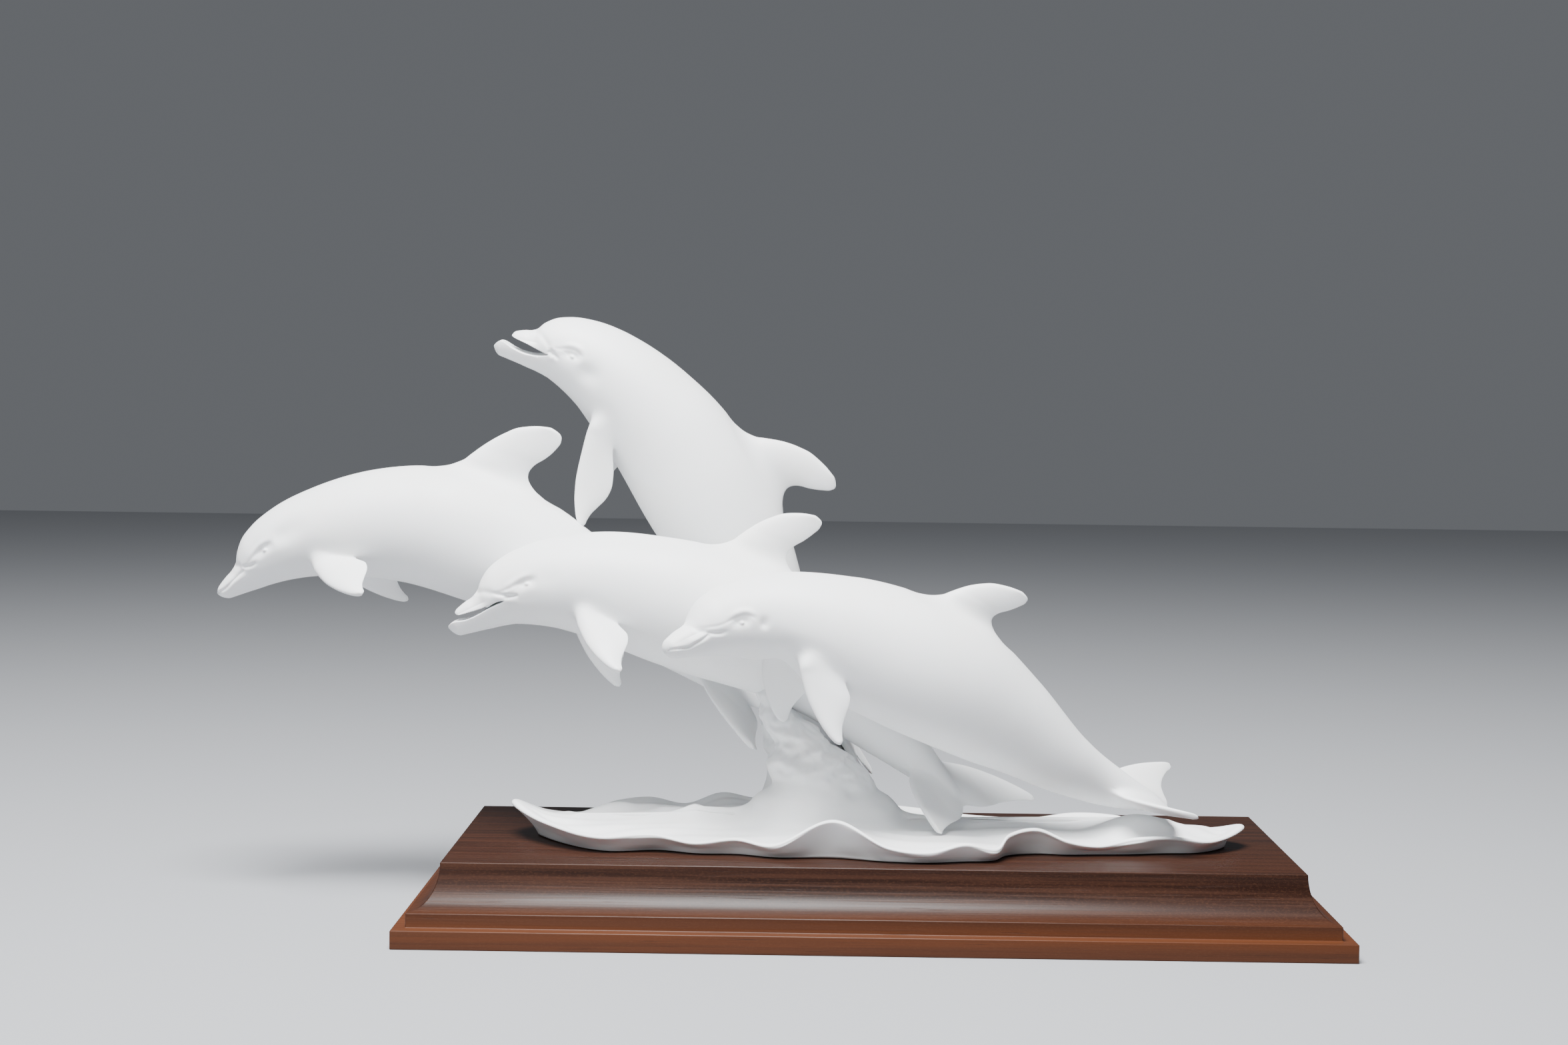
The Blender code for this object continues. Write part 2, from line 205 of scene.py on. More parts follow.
def join(base, others, reach, rounds, operation="UNION"):
    """Joins or cuts with the other pieces and relaxes the seams that this makes."""
    known = [keys(coordinates(piece)) for piece in [base] + others]
    for other in others:
        modifier = base.modifiers.new(operation.lower(), "BOOLEAN")
        modifier.operation, modifier.solver, modifier.object = operation, "EXACT", other
        only(base)
        bpy.ops.object.modifier_apply(modifier=modifier.name)
        bpy.data.objects.remove(other)
    points = coordinates(base)
    seams = points[~np.isin(keys(points), np.concatenate(known))]
    if len(seams) and rounds:
        relax(base, seams, reach * MM, rounds)
    print(base.name, "joined,", len(seams), "seam vertices")
    return base


# %% [markdown]
# One bottlenose dolphin is a spine with rings on it. Each ring has a height above the spine, a
# height below it and a half width, and all four dolphins share these, because the modeller drew
# the same animal in four poses. The beak is narrow, the melon rises steeply behind it, the trunk is
# fullest under the dorsal fin and the tail stock is flattened from side to side.

# %% One dolphin's build
BUILD = [  # share of the length, height above, height below, half width above and below the lips
    (0.000, 3.9, 4.6, 4.6, 4.8), (0.012, 4.9, 6.4, 6.4, 6.6), (0.030, 6.1, 8.8, 8.2, 8.8),
    (0.048, 6.9, 10.9, 9.4, 11.0), (0.058, 8.2, 12.0, 10.8, 12.2), (0.068, 11.2, 12.9, 13.0, 13.4),
    (0.082, 14.9, 14.1, 15.7, 15.3), (0.108, 18.7, 16.3, 18.6, 18.2), (0.145, 21.7, 19.4, 21.7, 21.2),
    (0.210, 25.0, 24.6, 25.3, 25.2), (0.300, 29.8, 30.2, 28.4, 28.4), (0.390, 33.2, 33.8, 30.3, 30.3),
    (0.480, 34.5, 35.0, 30.6, 30.6), (0.560, 32.6, 33.4, 28.2, 28.2), (0.650, 27.0, 28.6, 22.6, 22.6),
    (0.740, 20.4, 21.4, 16.3, 16.3), (0.830, 14.4, 15.0, 11.2, 11.2), (0.910, 10.0, 10.2, 8.2, 8.2),
    (0.960, 6.6, 6.8, 6.6, 6.6), (1.000, 4.0, 4.0, 5.0, 5.0),
]
NECK = (0.14, 0.34)  # between these shares the head's girth turns into the trunk's
NOSE = 0.012  # the rounding of the beak's tip, as a share of the length
THROAT = (0.238, 0.05)  # where the throat dips, and over what share
DORSAL = [  # height, front edge and back edge, as shares of the root
    (-0.20, -0.12, 1.04), (0.00, -0.10, 1.00), (0.05, -0.01, 0.88), (0.10, 0.065, 0.80),
    (0.19, 0.135, 0.755), (0.28, 0.20, 0.78), (0.40, 0.30, 0.88), (0.50, 0.41, 0.95),
    (0.60, 0.56, 1.00), (0.66, 0.72, 0.99), (0.695, 0.84, 0.94),
]
PECTORAL = [  # way out, front edge and back edge, as shares of the length
    (-0.22, -0.22, 0.20), (0.00, -0.22, 0.15), (0.15, -0.215, 0.17), (0.30, -0.21, 0.23),
    (0.45, -0.197, 0.25), (0.58, -0.172, 0.215), (0.69, -0.145, 0.150), (0.80, -0.11, 0.090),
    (0.90, -0.07, 0.062), (0.97, -0.03, 0.052), (1.00, -0.008, 0.042),
]
LOBE = [  # way out along one fluke, front edge and back edge, as shares of the half span
    (0.10, -0.50, 0.50), (0.22, -0.42, 0.60), (0.38, -0.28, 0.67), (0.55, -0.11, 0.71),
    (0.72, 0.13, 0.76), (0.87, 0.42, 0.82), (0.96, 0.66, 0.87), (1.00, 0.80, 0.86),
]
FLUKES = [(-t, a, b) for t, a, b in reversed(LOBE)] + [(0.0, -0.55, 0.40)] + LOBE


def section(angle):
    """A fin's section: place across the chord, and height as a share of the half thickness."""
    across = (1 - np.cos(angle)) / 2
    return across, np.sign(np.sin(angle)) * np.sqrt(across) * (1 - across) / 0.385


print(len(BUILD), "rings from beak to tail")

# %% [markdown]
# The class below holds one pose. Its frames method gives the middle of the body and the directions
# aft, left and up anywhere along the spine, and skin turns a share of the length and an angle from
# the top of the back into a point. Everything on the animal is placed by those two numbers, so the
# same eye or fin can be set on any pose.

# %% A pose


class Dolphin:
    """One pose, in mm unless said otherwise.

    spine: points from beak to tail, each x, y, z and roll in degrees
    head, trunk: girths as factors of the build
    dorsal: shares where it starts and ends, height as a factor, how far its tip is drawn forward
    fluke: half span, sweep, cup, scale of the near lobe, how far the far and the near lobe are
        shifted aft, how hollow the back edge is and how full the near lobe's front edge is
    pectorals: side (1 is the near one), share, degrees down from the side, its direction as aft,
        outward and down, length, width as a factor and, for one, how late it widens
    gape, pull, push: how far the jaw drops, the upper beak draws back and the lower reaches out
    throat: how deep the throat's dip is, as a share; slim: what is taken off the top of the beak
    """

    def __init__(self, name, spine, head, trunk, dorsal, fluke, pectorals, gape=0.0, pull=0.0,
                 push=0.0, throat=0.0, slim=0.0):
        self.name, self.spine = name, np.array(spine, float)
        self.head, self.trunk, self.dorsal, self.fluke = head, trunk, dorsal, fluke
        self.pectorals, self.gape, self.throat, self.slim = pectorals, gape, throat, slim
        self.pull, self.push = pull, push
        steps = np.linalg.norm(np.diff(self.spine[:, :3], axis=0), axis=1)
        self.length = steps.sum()
        self.knots = np.concatenate([[0.0], np.cumsum(steps)]) / self.length

    def frames(self, share):
        share = np.atleast_1d(np.asarray(share, float))
        where = through(self.knots, self.spine, share)
        ahead = through(self.knots, self.spine, share + 0.002)[:, :3]
        behind = through(self.knots, self.spine, share - 0.002)[:, :3]
        aft = unit_rows(ahead - behind)
        level = np.array([0.0, -1.0, 0.0])
        level = unit_rows(level - (aft @ level)[:, None] * aft)
        up = np.cross(level, aft)
        roll = np.radians(where[:, 3:4])
        left = np.cos(roll) * level + np.sin(roll) * up
        return where[:, :3], aft, left, np.cos(roll) * up - np.sin(roll) * level

    def sizes(self, share):
        rows = through([row[0] for row in BUILD], [row[1:] for row in BUILD], share)
        girth = np.interp(share, NECK, (self.head, self.trunk))[:, None]
        rows = rows * girth
        rows[:, 0] -= self.slim * (1 - smoothstep(0.035, 0.07, share))
        rows[:, 1] += self.gape * np.maximum(0.0, 1 - share / 0.1)
        rows[:, 1] *= 1 - self.throat * np.exp(-((share - THROAT[0]) / THROAT[1]) ** 2)
        cap = np.sqrt(1 - (1 - np.clip(share / NOSE, 0, 1)) ** 2)
        cap *= np.sqrt(1 - np.clip((share - 0.985) / 0.015, 0, 1) ** 2)
        return rows * cap[:, None]

    def skin(self, share, angle):
        """A point of the skin: share of the length and angle from the top of the back."""
        high, low, half, jaw = self.sizes(share).T
        cosine, sine = np.cos(angle), np.sin(angle)
        half = jaw + (half - jaw) * smoothstep(-0.25, 0.12, cosine)
        upper = smoothstep(-0.1, 0.1, cosine)
        middle, aft, left, up = self.frames(share)
        slide = self.pull * upper - self.push * (1 - upper) * (1 + np.clip(-cosine, 0, 1))
        slide *= np.clip(1 - share / 0.07, 0, 1)
        middle = middle + aft * slide[:, None]
        rise = np.where(cosine > 0, high, low) * cosine
        return middle + left * (half * sine)[:, None] + up * rise[:, None]

    def trunk_of_clay(self, around=160, along=300):
        piece, place, angle = clay(self.name, around, along)
        head = place / 0.55
        share = np.where(head < 1, 0.22 * head * (0.35 + 0.65 * head),
                         0.22 + 0.78 * (place - 0.55) / 0.45)
        angle = angle + 0.22 * np.sin(2 * angle)
        return piece, share, angle

    def fin(self, name, rows, place, across, normal, thickness, around=56, along=64):
        piece, out, angle = clay(self.name + "_" + name, around, along)
        table = np.array(rows)
        first, last = table[0, 0], table[-1, 0]
        if first == -last:
            t = last * np.sin((out - 0.5) * math.pi)
        else:
            t = first + (last - first) * np.sin(out * math.pi / 2)
        edges = through(table[:, 0], table[:, 1:], t)
        share, lift = section(angle)
        end = 1 - np.clip((np.abs(t) - 0.955 * last) / (0.045 * last), 0, 1) ** 2
        end = np.sqrt(np.maximum(end, 0))
        half = np.interp(t, *thickness) * lift + 0.7 * np.sin(angle)
        chord = (edges[:, 1] - edges[:, 0]) * (share - 0.5) * end
        offset = edges.mean(axis=1) + chord
        points = place(t) + across * offset[:, None] + normal * (half * end)[:, None]
        return shaped(piece, points)

    def dorsal_fin(self):
        front, back, height, trim = self.dorsal
        middle, _, left, up = self.frames([front, back])
        start, end = middle + up * self.sizes(np.array([front, back]))[:, :1]
        chord = end - start
        left = unit_rows(left.sum(axis=0))
        rise = np.cross(unit_rows(left - left.dot(unit_rows(chord)) * unit_rows(chord)), chord)
        rise = rise * height
        thickness = ([-0.2, 0.0, 0.1, 0.3, 0.695], [9.5, 7.0, 4.4, 2.8, 1.0])
        lower = [trim * max(0, (t - 0.35) / 0.3) ** 2 for t, _, _ in DORSAL]
        rows = [(t, a - c, b - c) for (t, a, b), c in zip(DORSAL, lower)]
        return self.fin("dorsal", rows, lambda t: start + rise * t[:, None], chord, left, thickness)

    def pectoral_fin(self, side, share, hang, aftward, outward, down, length, width, late=1.0):
        middle, aft, left, up = (value[0] for value in self.frames(share))
        _, low, half, _ = self.sizes(np.array([share]))[0]
        left, hang = left * side, math.radians(hang)
        out = left * math.cos(hang) - up * math.sin(hang)
        root = middle + (left * half * math.cos(hang) - up * low * math.sin(hang)) * 0.93
        along = unit_rows(aft * aftward + left * outward - up * down)
        across = unit_rows(aft - aft.dot(along) * along)
        normal = np.cross(along, across)
        thickness = ([-0.22, 0.0, 0.12, 0.35, 1.0], [7.5, 4.6, 3.2, 2.5, 0.8])
        rows = [(max(t, 0) ** (1 / late) + min(t, 0), a, b) for t, a, b in PECTORAL]

        def place(t):
            outer, inner = np.maximum(t, 0)[:, None], np.minimum(t, 0)[:, None]
            bend = along * outer + normal * (0.045 * outer * outer) + (0.8 * out + 0.2 * along) * inner
            return root + bend * length

        name = "left_fin" if side > 0 else "right_fin"
        return self.fin(name, rows, place, across * length * width, normal, thickness)

    def flukes_fin(self):
        middle, aft, left, up = (value[0] for value in self.frames(0.965))
        span, sweep, cup, near, shifts, dent, bulge = self.fluke
        forward = 0.8 * (1 - sweep)
        back = [shifts[t > 0] * t * t - forward * abs(t) for t, _, _ in FLUKES]
        rows = [(t, a + c - (bulge * (t > 0) + 0.3 * dent) * math.sin(math.pi * abs(t)),
                 b + c - dent * math.sin(math.pi * abs(t))) for (t, a, b), c in zip(FLUKES, back)]
        thickness = ([-1.0, -0.4, -0.12, 0.0, 0.12, 0.4, 1.0], [0.8, 2.2, 4.2, 5.6, 4.2, 2.2, 0.8])

        def place(t):
            across = np.where(t > 0, near * t, t)[:, None]
            return middle + (left * across + up * (cup * t * t)[:, None]) * span

        return self.fin("flukes", rows, place, aft * span, up, thickness, around=72, along=120)


print("pose class ready")

# %% [markdown]
# Faces are drawn with strokes on the skin, as a modeller draws in clay with a tool. A stroke runs
# through a few points, given as share of the length and degrees from the top of the back. It pushes
# the skin in or raises it, with a soft profile across and soft ends, and both cheeks get it.

# %% Modelling strokes


def stroke_path(dolphin, points, side, count=40):
    """The stroke's points on the skin, close together."""
    points = np.array(points, float)
    places = np.linspace(0, len(points) - 1, count)
    if len(points) > 2:
        fine = through(np.arange(len(points)), points, places)
    else:
        fine = points[0] + (points[-1] - points[0]) * (places / (len(points) - 1))[:, None]
    return dolphin.skin(fine[:, 0], side * np.radians(fine[:, 1]))


def model_face(dolphin, points, share, strokes):
    """Adds the strokes to the skin's points, along the way out from the spine."""
    near = np.where(share < 0.30)[0]
    skin = points[near]
    middle, aft, _, _ = dolphin.frames(share[near])
    out = skin - middle
    out = unit_rows(out - (out * aft).sum(axis=1)[:, None] * aft + 1e-9)
    rise = np.zeros(len(near))
    for line, height, width, ends in strokes:
        for side in (1, -1):
            path = stroke_path(dolphin, line, side)
            close = np.where(np.linalg.norm(skin - path.mean(axis=0), axis=1)
                             < np.linalg.norm(path - path.mean(axis=0), axis=1).max() + 3 * width)[0]
            distance = np.linalg.norm(skin[close, None, :] - path[None, :, :], axis=2)
            nearest = distance.argmin(axis=1)
            along = nearest / (len(path) - 1)
            taper = smoothstep(0, ends, along) * smoothstep(0, ends, 1 - along) if ends else 1.0
            rise[close] += height * taper * np.exp(-(distance.min(axis=1) / width) ** 2)
    points[near] += out * rise[:, None]
    return points


print("strokes ready")

# %% [markdown]
# The four faces are the same animal with small differences, so each face is a short list of marks:
# the crease where the melon meets the beak, the lips, the fold over the eye, the eye itself and the
# fold behind the corner of the mouth. Each mark is points of share and degrees, and a hollow is a share,
# an angle, a depth in mm and a width in mm. The function below turns the marks into strokes.

# %% The faces' marks
FACES = {
    "left": dict(
        eye=(0.115, 81.5), crease=[(0.053, 0), (0.054, 30), (0.058, 55), (0.066, 78)],
        lid=[(0.066, 80), (0.0785, 83), (0.0925, 79), (0.108, 76), (0.122, 75), (0.136, 79)],
        fold=[(0.064, 72), (0.070, 85), (0.0815, 91.5), (0.0975, 91)],
        lips=[(0.003, 88), (0.0065, 93), (0.020, 99), (0.0395, 94), (0.055, 91.5), (0.067, 90)],
        hollows=[(0.150, 74, 1.2, 5.0), (0.172, 72, 0.9, 6.0), (0.145, 98, -0.4, 7.0)]),
    "top": dict(
        eye=(0.1375, 91.0), crease=[(0.054, 0), (0.056, 30), (0.067, 56), (0.080, 76), (0.0985, 95.5)],
        lid=[(0.0975, 86), (0.1085, 87), (0.122, 82.5), (0.1365, 80.5), (0.149, 83), (0.159, 89)],
        fold=[(0.091, 88), (0.099, 96), (0.108, 101.5), (0.118, 106)],
        lips=[(0.091, 97.5), (0.098, 100), (0.104, 103)],
        hollows=[(0.172, 105, 1.2, 5.5), (0.186, 99, 0.9, 5.5), (0.150, 112, -0.6, 7.0)]),
    "middle": dict(
        eye=(0.146, 80.0), crease=[(0.056, 0), (0.058, 30), (0.065, 52), (0.076, 68), (0.088, 80)],
        lid=[(0.084, 75), (0.100, 80), (0.115, 80), (0.1305, 77), (0.1475, 74.5), (0.164, 77)],
        fold=[(0.080, 72), (0.0925, 82), (0.1085, 89.5), (0.1235, 90.5)],
        lips=[(0.100, 93.5), (0.1145, 93), (0.128, 93)],
        hollows=[(0.178, 78, 0.5, 6.0), (0.125, 106, -0.4, 6.0)]),
    "right": dict(
        eye=(0.1295, 88.5), crease=[(0.050, 0), (0.051, 30), (0.053, 55), (0.059, 80), (0.0695, 97)],
        lid=[(0.054, 52), (0.0655, 77), (0.082, 85), (0.0985, 84.5), (0.118, 79.5), (0.136, 77.5),
             (0.151, 81.5), (0.159, 88)],
        fold=[(0.0625, 88), (0.0725, 97), (0.086, 101), (0.103, 99)],
        lips=[(0.003, 93), (0.0065, 102), (0.0275, 118), (0.042, 112), (0.060, 103.5),
              (0.071, 97.5)],
        hollows=[(0.1725, 87, 0.9, 2.4), (0.172, 93, 0.8, 1.8), (0.150, 108, -0.4, 6.0)]),
}
LIP_ROLL = 9  # degrees from the line of the lips to the swelling on either side
EYE_DOT, HOLLOW_DOT = 0.0008, 0.001  # half the length of a stroke that is only a dot, as a share


def strokes_of(face):
    """Strokes as points, height in mm, width in mm and the share over which the ends fade."""
    share, angle = face["eye"]
    strokes = [
        (face["crease"], -0.7, 1.6, 0.15),
        (face["lips"], -0.95, 0.75, 0.12),
        ([(s, a - LIP_ROLL) for s, a in face["lips"]], 0.25, 1.5, 0.30),
        ([(s, a + LIP_ROLL) for s, a in face["lips"]], 0.30, 1.5, 0.30),
        (face["lid"], -0.35, 0.80, 0.25),
        ([(s, a - 5) for s, a in face["lid"][-5:]], 0.70, 1.5, 0.40),
        (face["fold"], -1.10, 1.0, 0.35),
        ([(s, a + 8) for s, a in face["fold"]], 0.35, 1.7, 0.40),
        ([(share - 0.030, angle + 1), (share, angle - 2.5), (share + 0.022, angle - 3.5)],
         -1.5, 2.5, 0.40),
        ([(share - EYE_DOT, angle), (share + EYE_DOT, angle)], 1.2, 0.80, 0.0),
    ]
    for s, a, depth, width in face["hollows"]:
        strokes.append(([(s - HOLLOW_DOT, a), (s + HOLLOW_DOT, a)], -depth, width, 0.0))
    return strokes


print(sum(len(strokes_of(face)) for face in FACES.values()), "strokes on a cheek in all")

# %% [markdown]
# The poses come next. Each spine runs from beak to tail as x, y, z and a roll in degrees. Two of the
# animals open their mouths, and for them the opening is cut with a curved wedge whose upper and
# lower lines are the lips. Cutting a real gap lets the light fall out of the mouth as it should.

# %% The four poses
POSES = {
    "left": dict(
        spine=[(-344.5, 40, 117.6, 0), (-298, 41, 148, 0), (-242, 42, 156, 0), (-183, 41, 140, 0),
               (-132, 39, 113, -4), (-67, 36, 66, -20)],
        head=0.97, trunk=0.955, dorsal=(0.408, 0.553, 1.03, 0.05),
        fluke=(40, 0.92, 0.0, 1.0, (0.0, 0.0), 0.0, 0.0), slim=2.0,
        pectorals=[(1, 0.22, 37, 0.37, 0.72, 0.56, 40, 1.28),
                   (-1, 0.235, 50, 0.62, 0.30, 0.70, 38, 1.08)]),
    "top": dict(
        spine=[(-198.6, 56, 254.2, 0), (-145, 57, 238.5, 0), (-113, 57, 209, 0),
               (-79, 56, 158, 0), (-34, 49, 79.5, 0), (-12, 42, 45, 0)],
        head=1.0, trunk=0.97, dorsal=(0.433, 0.59, 1.0, 0.0),
        fluke=(36, 1.0, 0.0, 1.0, (0.0, 0.0), 0.0, 0.0),
        gape=2.8, pull=5.8, push=1.8,
        pectorals=[(1, 0.272, 46, 0.50, -0.04, 0.85, 56, 0.77, 1.5),
                   (-1, 0.275, 35, 0.45, 0.55, 0.70, 40, 1.0)]),
    "middle": dict(
        spine=[(-215.2, -4, 110.0, 0), (-157, -4, 129, 0), (-100, -4, 120, 0), (-50, -4, 104, 0),
               (8, -2, 55, -12), (30, -6, 35.5, -32), (44, -17, 23, -50)],
        head=1.0, trunk=0.97, dorsal=(0.448, 0.567, 1.13, 0.0),
        fluke=(36, 1.0, 0.08, 0.80, (0.0, -0.16), 0.06, 0.13),
        gape=3.8, pull=1.8, push=2.0, slim=1.5,
        pectorals=[(1, 0.266, 30, 0.43, 0.60, 0.64, 39.5, 1.20),
                   (-1, 0.250, 52, 0.42, 0.25, 0.84, 39, 1.15)]),
    "right": dict(
        spine=[(-102.5, -74, 101.8, 0), (-57, -52, 116, 0), (-16, -46, 107.5, 0),
               (34, -44.5, 87.5, 0), (67, -40, 66.5, 0), (96.5, -34, 45, -3), (114, -28, 35, -6),
               (130, -24, 28, -10), (146, -20, 22.5, -13)],
        head=0.94, trunk=0.975, dorsal=(0.455, 0.58, 0.93, 0.0),
        fluke=(36, 0.50, 0.30, 0.95, (0.16, 0.0), 0.12, 0.0), throat=0.27,
        pectorals=[(1, 0.297, 28, 0.48, 0.20, 0.86, 43, 1.08),
                   (-1, 0.256, 35, 0.17, 0.15, 0.97, 42, 1.38)]),
}
MOUTHS = {  # x and z of the upper and the lower lips from front to corner, and the far lip's rise
    "middle": ([(-232, 124), (-217.0, 117.2), (-213.8, 113.9), (-211.2, 112.7), (-206, 114.2),
                (-198.6, 116.8), (-192.2, 119.9), (-186.5, 121.6)],
               [(-232, 98), (-219.0, 103.6), (-216.2, 107.2), (-212.9, 109.3), (-207, 110.5),
                (-200.6, 113.6), (-194.2, 117.5), (-186.5, 121.2)], 0.6),
    "top": ([(-210, 270), (-195.8, 260.6), (-193.2, 257.0), (-190.4, 255.2), (-183.4, 252.3),
             (-175.7, 248.7), (-171.0, 246.7)],
            [(-214, 243), (-203.4, 249.4), (-200.0, 252.4), (-196.7, 253.5), (-191.1, 250.0),
             (-185.1, 247.4), (-178.0, 246.2), (-171.0, 246.3)], 1.6),
}


def mouth_wedge(name, rows=55, columns=60):
    """The curved wedge that opens a mouth. Its fine grid gives the cut something to relax."""
    upper, lower, rise = MOUTHS[name]
    middle = POSES[name]["spine"][0][1]
    places = np.linspace(0, len(upper) - 1, columns)
    outline = np.concatenate([through(range(len(line)), line, places) for line in (upper, lower)])
    outline[columns:] = outline[columns:][::-1]
    count = len(outline)
    points = [(x, middle + 22 * side, z + rise * side)
              for side in np.linspace(-1, 1, rows) for x, z in outline]
    faces = [tuple(range(count)), tuple(range(rows * count - 1, (rows - 1) * count - 1, -1))]
    for row in range(0, (rows - 1) * count, count):
        faces += [(row + k, row + k + count, row + (k + 1) % count + count, row + (k + 1) % count)
                  for k in range(count)]
    mesh = bpy.data.meshes.new(name + "_mouth")
    mesh.from_pydata([tuple(p) for p in to_model(points)], [], faces)
    wedge = bpy.data.objects.new(name + "_mouth", mesh)
    bpy.context.collection.objects.link(wedge)
    return outwards(wedge)


print("poses:", ", ".join(POSES))

# %% [markdown]
# Now each animal is built: the trunk of clay is shaped, the face is drawn on it, the mouth is cut
# where it is open, and the fins are joined on with slip. The join is relaxed over some millimetres,
# which gives the soft fillet that a fin has at its root.

# %% Build the four dolphins
LIP_SOFTENING = (2.4, 12)  # reach in mm and rounds of smoothing
FIN_SOFTENING = (9.0, 45)
CREST_SOFTENING = (11.0, 50)

dolphins = []
for name, values in POSES.items():
    dolphin = Dolphin("dolphin_" + name, **values)
    piece, share, angle = dolphin.trunk_of_clay()
    skin = dolphin.skin(share, angle)
    shaped(piece, model_face(dolphin, skin, share, strokes_of(FACES[name])))
    if name in MOUTHS:
        join(piece, [mouth_wedge(name)], *LIP_SOFTENING, "DIFFERENCE")
    fins = [dolphin.dorsal_fin(), dolphin.flukes_fin()]
    fins += [dolphin.pectoral_fin(*fin) for fin in dolphin.pectorals]
    join(piece, fins, *FIN_SOFTENING)
    bpy.ops.object.shade_smooth()
    dolphins.append(piece)
    print(piece.name, round(dolphin.length), "mm long,", len(piece.data.polygons), "faces")

# %% [markdown]
# The wave is a shallow dish with a leaf-shaped plan. Its wall stands on a narrow foot, leans out and
# ends in a thin rounded lip that rises and falls in small crests. Each of its rings repeats the rim,
# moved inwards and up by a profile, so the ripples of the rim fade towards the floor.

# %% The wave's dish
RIM = [  # x, y, height and overhang, from the left tip along the front and back behind
    (-183.5, 2, 17, 14), (-164, -38, 12.5, 12), (-134, -58, 8.6, 8), (-108, -54, 9.4, 8),
    (-88, -60, 6.8, 6), (-67, -61, 9.0, 6), (-50, -68, 7.2, 6), (-19, -70, 20, 8),
    (8, -76, 8.2, 6), (28, -77, 6.6, 6), (45, -73, 10, 6), (61, -68, 7, 6), (68, -56, 12, 8),
    (82, -50, 14, 8), (97, -50, 8.4, 7), (112, -47, 5.8, 6), (131, -45, 9, 6), (150, -41, 9.4, 7),
    (168, -37, 7.2, 7), (190, -8, 11, 10), (178, 8, 6.6, 8), (150, 14, 6.6, 6), (127, 24, 10, 6),
    (107, 26, 10.5, 6), (85, 26, 7.6, 6), (60, 34, 6.8, 6), (20, 48, 9, 6), (-30, 54, 12, 6),
    (-62, 56, 11.5, 6), (-78, 56, 14, 7), (-97, 54, 8.2, 6), (-117, 52, 11.6, 7),
    (-134, 50, 9.8, 7), (-150, 40, 5.4, 6), (-168, 26, 8, 9),
]
SWELLS = [  # height, x, y, half length, half width and power: rises in the floor of the dish
    (5.5, -90, -1, 11, 9, 1.5), (5.5, -133, 24, 15, 9, 2), (8.0, 136, -19, 20, 11, 2),
]
WAVE_AROUND, WAVE_ALONG = 480, 96
WAVE_MIDDLE = (2, -7)  # the middle of the dish
WAVE_HALF = (188, 62)  # its half length and half width, as the direction of a rim point is read
FLOOR_MIDDLE = (150, 1.5)  # half length and width of the line on which the rings close
FLOOR_HEIGHT = 11.5


def closed_through(points, count):
    """The smooth loop through the points, as count points."""
    loop = np.array(points[-3:] + points + points[:4], float)
    steps = np.linalg.norm(np.diff(loop[:, :2], axis=0), axis=1)
    lengths = np.concatenate([[0.0], np.cumsum(steps)])
    first, last = lengths[3], lengths[3 + len(points)]
    return through(lengths, loop, first + (last - first) * np.arange(count) / count)


